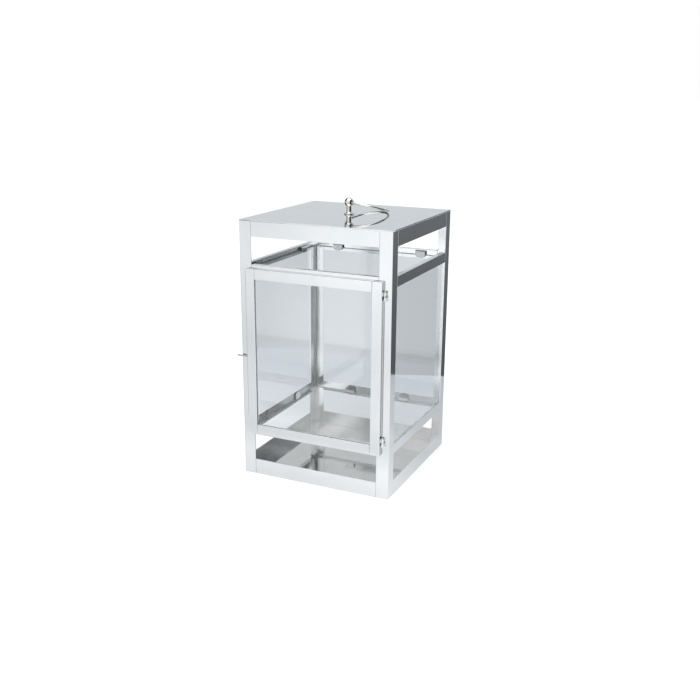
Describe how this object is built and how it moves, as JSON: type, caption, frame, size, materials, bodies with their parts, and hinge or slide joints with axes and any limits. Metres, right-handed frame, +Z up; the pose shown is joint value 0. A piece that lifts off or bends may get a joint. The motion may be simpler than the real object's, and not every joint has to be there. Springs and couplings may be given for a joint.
{
  "type": "candle lantern",
  "caption": "Square table lantern: polished metal frame with open gaps above and below its glass panes, a hinged glass door with a hook latch, and a swinging ring handle on the roof.",
  "frame": {"origin": "centre of the base plate's underside, on the surface that the lantern stands on", "axes": "+Z up, -Y towards the door, +X towards the side that the door is hinged on"},
  "size_m": [0.205, 0.2055, 0.3488],
  "materials": {
    "polished_steel": "mirror-polished stainless steel sheet, faint polishing lines and light handling marks",
    "mirror_steel": "mirror-polished stainless steel plate",
    "nickel": "nickel plate, warm and bright",
    "zinc_plated": "dull zinc plate",
    "clear_glass": "clear float glass with a faint blue-green tint and ground edges"
  },
  "bodies": {
    "frame": {"roof_plate": "mirror_steel", "base_plate": "mirror_steel", "corner_post_front_left": "polished_steel", "corner_post_front_right": "polished_steel", "corner_post_back_right": "polished_steel", "corner_post_back_left": "polished_steel", "top_band_front": "polished_steel", "top_band_right": "polished_steel", "top_band_back": "polished_steel", "top_band_left": "polished_steel", "upper_rail_front": "polished_steel", "upper_rail_right": "polished_steel", "upper_rail_back": "polished_steel", "upper_rail_left": "polished_steel", "lower_rail_front": "polished_steel", "lower_rail_right": "polished_steel", "lower_rail_back": "polished_steel", "lower_rail_left": "polished_steel", "bottom_band_front": "polished_steel", "bottom_band_right": "polished_steel", "bottom_band_back": "polished_steel", "bottom_band_left": "polished_steel", "glass_right": "clear_glass", "glass_clip_right_upper_1": "polished_steel", "glass_clip_right_upper_2": "polished_steel", "glass_clip_right_lower_1": "polished_steel", "glass_clip_right_lower_2": "polished_steel", "glass_back": "clear_glass", "glass_clip_back_upper_1": "polished_steel", "glass_clip_back_upper_2": "polished_steel", "glass_clip_back_lower_1": "polished_steel", "glass_clip_back_lower_2": "polished_steel", "glass_left": "clear_glass", "glass_clip_left_upper_1": "polished_steel", "glass_clip_left_upper_2": "polished_steel", "glass_clip_left_lower_1": "polished_steel", "glass_clip_left_lower_2": "polished_steel", "handle_post": "nickel", "handle_washer": "zinc_plated", "handle_nut": "zinc_plated", "hinge_frame_knuckle_upper": "polished_steel", "hinge_pin_upper": "nickel", "hinge_frame_knuckle_lower": "polished_steel", "hinge_pin_lower": "nickel", "latch_rivet": "nickel"},
    "door": {"hinge_door_knuckle_upper": "polished_steel", "hinge_door_knuckle_lower": "polished_steel", "door_stile_latch": "polished_steel", "door_stile_hinge": "polished_steel", "door_rail_top": "polished_steel", "door_rail_bottom": "polished_steel", "door_glass": "clear_glass", "door_latch_pin": "nickel"},
    "hook": {"latch_hook": "polished_steel"},
    "ring": {"handle_ring": "nickel"}
  },
  "joints": [
    {"name": "door_hinge", "type": "hinge", "parent": "frame", "child": "door", "pos_m": [0.0928, -0.1026, 0.1635], "axis": [0, 0, 1], "range_deg": [0, 150]},
    {"name": "latch_pivot", "type": "hinge", "parent": "frame", "child": "hook", "pos_m": [-0.1, -0.09, 0.158], "axis": [1, 0, 0], "range_deg": [0, 270]},
    {"name": "ring_swing", "type": "hinge", "parent": "frame", "child": "ring", "pos_m": [0, 0, 0.343], "axis": [0.8387, -0.5446, 0], "range_deg": [0, 207]}
  ]
}
